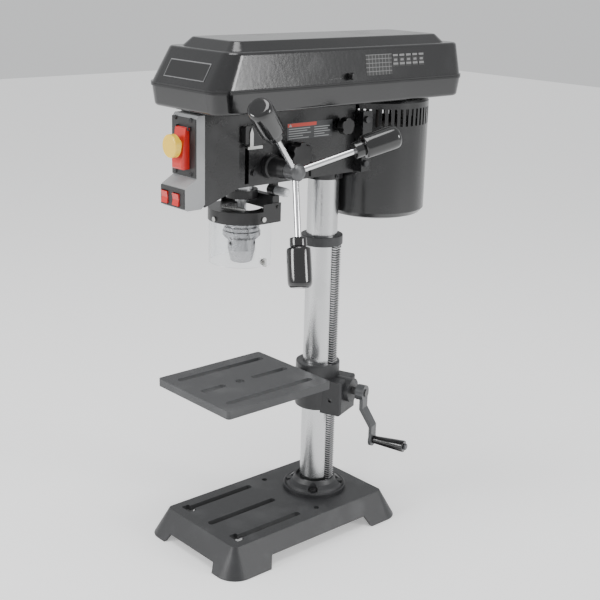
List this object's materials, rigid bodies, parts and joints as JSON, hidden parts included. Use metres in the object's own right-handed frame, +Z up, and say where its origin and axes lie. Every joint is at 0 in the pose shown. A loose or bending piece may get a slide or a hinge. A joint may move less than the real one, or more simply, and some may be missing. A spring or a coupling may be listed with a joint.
{
  "type": "drill press",
  "caption": "Bench drill press with a slotted base, tube column, rack-lifted tilting table, sprung quill with key chuck and flip-up guard, belt drive under a hinged cover, and a rear motor.",
  "frame": {"origin": "on the column's axis, at bench level under the base", "axes": "+Z up along the column, the operator stands at -Y, the feed handles, crank and cover latch are on +X, the motor is at +Y"},
  "size_m": [0.2662, 0.5094, 0.769],
  "materials": {
    "powder_grey": "satin powder coat",
    "zinc_bolt": "plated",
    "column_steel": "turned and polished",
    "head_black": "satin black paint",
    "satin_black": "satin",
    "spring_steel": "blued",
    "lamp_glass": "frosted",
    "bearing_steel": "ground",
    "case_black": "gloss black paint",
    "switch_grey": "satin",
    "panel_black": "satin",
    "belt_rubber": "moulded",
    "rack_steel": "milled",
    "crank_grey": "satin grey paint",
    "grip_black": "polished",
    "ground_steel": "ground",
    "guard_black": "satin black paint",
    "chrome_rod": "polished",
    "chuck_steel": "ground",
    "clear_guard": "clear moulding",
    "cover_black": "gloss black",
    "cast_aluminium": "cast",
    "motor_black": "satin dark paint",
    "stator_steel": "laminated",
    "knob_black": "satin",
    "switch_red": "gloss",
    "button_yellow": "gloss"
  },
  "bodies": {
    "stand": {"base": "powder_grey", "column_flange": "powder_grey", "flange_bolts": "zinc_bolt", "column": "column_steel", "rack_collar": "powder_grey", "head_casting": "head_black", "head_screws": "zinc_bolt", "spring_cup": "satin_black", "return_spring": "spring_steel", "depth_stop_block": "satin_black", "work_lamp": "lamp_glass", "head_bearings": "bearing_steel", "belt_case": "case_black", "switch_box": "switch_grey", "switch_panels": "panel_black", "drive_belt": "belt_rubber"},
    "rack_bar": {"rack": "rack_steel"},
    "table_carrier": {"table_bracket": "powder_grey", "tilt_bolt": "zinc_bolt"},
    "table_plate": {"table": "powder_grey"},
    "crank": {"lift_shaft": "zinc_bolt", "crank_arm": "crank_grey"},
    "crank_handle": {"crank_grip": "grip_black"},
    "lift_pinion": {"lift_gear": "bearing_steel"},
    "lock_lever": {"table_lock": "satin_black"},
    "quill_unit": {"quill": "ground_steel", "quill_bearings": "bearing_steel", "depth_pointer": "zinc_bolt", "guard_collar": "guard_black"},
    "feed": {"feed_shaft": "ground_steel", "feed_hub": "satin_black", "feed_rods": "chrome_rod", "feed_grips": "grip_black"},
    "spindle_unit": {"spindle": "ground_steel", "chuck_body": "chuck_steel"},
    "chuck_ring": {"chuck_sleeve": "chuck_steel"},
    "jaw_1": {"chuck_jaw_1": "chuck_steel"},
    "jaw_2": {"chuck_jaw_2": "chuck_steel"},
    "jaw_3": {"chuck_jaw_3": "chuck_steel"},
    "guard": {"guard_frame": "guard_black", "guard_shell": "clear_guard", "guard_screws": "zinc_bolt"},
    "cover": {"belt_cover": "cover_black"},
    "latch": {"cover_latch": "satin_black"},
    "front_pulley": {"spindle_pulley": "cast_aluminium"},
    "motor": {"motor_shell": "motor_black", "motor_end_caps": "motor_black", "stator": "stator_steel", "motor_plate": "head_black", "slide_rods": "ground_steel", "plate_bolts": "zinc_bolt"},
    "rotor_unit": {"rotor": "stator_steel", "motor_pulley": "cast_aluminium"},
    "belt_lever": {"tension_lever": "satin_black"},
    "belt_knob": {"tension_knob": "knob_black"},
    "rod_knob": {"slide_lock_knob": "knob_black"},
    "paddle": {"stop_paddle": "switch_red"},
    "button": {"paddle_button": "button_yellow"},
    "left_rocker": {"rocker_left": "switch_red"},
    "right_rocker": {"rocker_right": "switch_red"}
  },
  "joints": [
    {"name": "table_swing", "type": "hinge", "parent": "stand", "child": "rack_bar", "pos_m": [0, 0, 0.25], "axis": [0, 0, 1], "range_deg": [-180, 180]},
    {"name": "table_lift", "type": "slide", "parent": "rack_bar", "child": "table_carrier", "axis": [0, 0, 1], "range_m": [-0.09, 0.17]},
    {"name": "crank_turn", "type": "hinge", "parent": "table_carrier", "child": "crank", "pos_m": [0.05638, 0.02052, 0.222], "axis": [0.9397, 0.342, 0], "range_deg": [-8253, 15588]},
    {"name": "lift_gear_turn", "type": "hinge", "parent": "table_carrier", "child": "lift_pinion", "pos_m": [0.03477, 0.01265, 0.2075], "axis": [-0.342, 0.9397, 0], "range_deg": [-1300, 690]},
    {"name": "crank_grip_spin", "type": "hinge", "parent": "crank", "child": "crank_handle", "pos_m": [0.12216, 0.04446, 0.147], "axis": [0.9397, 0.342, 0], "continuous": true},
    {"name": "table_tilt", "type": "hinge", "parent": "table_carrier", "child": "table_plate", "pos_m": [0, -0.058, 0.23], "axis": [0, 1, 0], "range_deg": [-45, 45]},
    {"name": "table_lock_turn", "type": "hinge", "parent": "table_carrier", "child": "lock_lever", "pos_m": [-0.05, 0, 0.225], "axis": [-1, 0, 0], "range_deg": [-90, 90]},
    {"name": "quill_feed", "type": "slide", "parent": "stand", "child": "quill_unit", "axis": [0, 0, -1], "range_m": [0, 0.05], "stiffness_N_per_m": 300, "springref_m": -0.16},
    {"name": "feed_turn", "type": "hinge", "parent": "stand", "child": "feed", "pos_m": [0, -0.1376, 0.593], "axis": [1, 0, 0], "range_deg": [0, 328]},
    {"name": "front_pulley_spin", "type": "hinge", "parent": "stand", "child": "front_pulley", "pos_m": [0, -0.1593, 0.7], "axis": [0, 0, 1], "continuous": true},
    {"name": "spindle_spin", "type": "hinge", "parent": "quill_unit", "child": "spindle_unit", "pos_m": [0, -0.1593, 0.6], "axis": [0, 0, 1], "continuous": true},
    {"name": "rotor_spin", "type": "hinge", "parent": "motor", "child": "rotor_unit", "pos_m": [0, 0.1092, 0.6], "axis": [0, 0, 1], "continuous": true},
    {"name": "chuck_turn", "type": "hinge", "parent": "spindle_unit", "child": "chuck_ring", "pos_m": [0, -0.1593, 0.49], "axis": [0, 0, 1], "range_deg": [0, 2690]},
    {"name": "jaw_1_slide", "type": "slide", "parent": "spindle_unit", "child": "jaw_1", "axis": [0, -0.342, -0.9397], "range_m": [0, 0.0135]},
    {"name": "jaw_2_slide", "type": "slide", "parent": "spindle_unit", "child": "jaw_2", "axis": [0.2962, 0.171, -0.9397], "range_m": [0, 0.0135]},
    {"name": "jaw_3_slide", "type": "slide", "parent": "spindle_unit", "child": "jaw_3", "axis": [-0.2962, 0.171, -0.9397], "range_m": [0, 0.0135]},
    {"name": "guard_flip", "type": "hinge", "parent": "quill_unit", "child": "guard", "pos_m": [0, -0.133, 0.536], "axis": [-1, 0, 0], "range_deg": [0, 20]},
    {"name": "cover_open", "type": "hinge", "parent": "stand", "child": "cover", "pos_m": [-0.088, 0, 0.70675], "axis": [0, -1, 0], "range_deg": [0, 95]},
    {"name": "latch_turn", "type": "hinge", "parent": "cover", "child": "latch", "pos_m": [0.083, -0.032, 0.718], "axis": [1, 0, 0], "range_deg": [0, 90]},
    {"name": "motor_slide", "type": "slide", "parent": "stand", "child": "motor", "axis": [0, 1, 0], "range_m": [0, 0.012], "deforming": ["drive_belt"]},
    {"name": "tension_lever_turn", "type": "hinge", "parent": "stand", "child": "belt_lever", "pos_m": [0.05, -0.07, 0.6], "axis": [1, 0, 0], "range_deg": [0, 60.5]},
    {"name": "tension_knob_turn", "type": "hinge", "parent": "stand", "child": "belt_knob", "pos_m": [0.05, -0.096, 0.606], "axis": [1, 0, 0], "range_deg": [-180, 180]},
    {"name": "slide_lock_turn", "type": "hinge", "parent": "stand", "child": "rod_knob", "pos_m": [0.05, -0.004, 0.641], "axis": [1, 0, 0], "range_deg": [-180, 180]},
    {"name": "paddle_flip", "type": "hinge", "parent": "stand", "child": "paddle", "pos_m": [0.002, -0.2645, 0.6535], "axis": [-1, 0, 0], "range_deg": [0, 35]},
    {"name": "button_press", "type": "slide", "parent": "paddle", "child": "button", "axis": [0, 1, 0], "range_m": [0, 0.003], "stiffness_N_per_m": 400, "springref_m": -0.002},
    {"name": "left_rocker_turn", "type": "hinge", "parent": "stand", "child": "left_rocker", "pos_m": [-0.016, -0.2795, 0.558], "axis": [1, 0, 0], "range_deg": [-6, 6]},
    {"name": "right_rocker_turn", "type": "hinge", "parent": "stand", "child": "right_rocker", "pos_m": [0.01, -0.2795, 0.558], "axis": [1, 0, 0], "range_deg": [-6, 6]}
  ],
  "couplings": [
    {"joint": "crank_turn", "follows": "table_lift", "rad_per_m": 1600},
    {"joint": "lift_gear_turn", "follows": "table_lift", "rad_per_m": -133.33},
    {"joint": "feed_turn", "follows": "quill_feed", "rad_per_m": 114.29},
    {"joint": "spindle_spin", "follows": "front_pulley_spin", "ratio": 1},
    {"joint": "rotor_spin", "follows": "front_pulley_spin", "ratio": 1},
    {"joint": "jaw_1_slide", "follows": "chuck_turn", "m_per_rad": 0.0002865},
    {"joint": "jaw_2_slide", "follows": "chuck_turn", "m_per_rad": 0.0002865},
    {"joint": "jaw_3_slide", "follows": "chuck_turn", "m_per_rad": 0.0002865},
    {"joint": "tension_lever_turn", "follows": "motor_slide", "rad_per_m": 87}
  ]
}
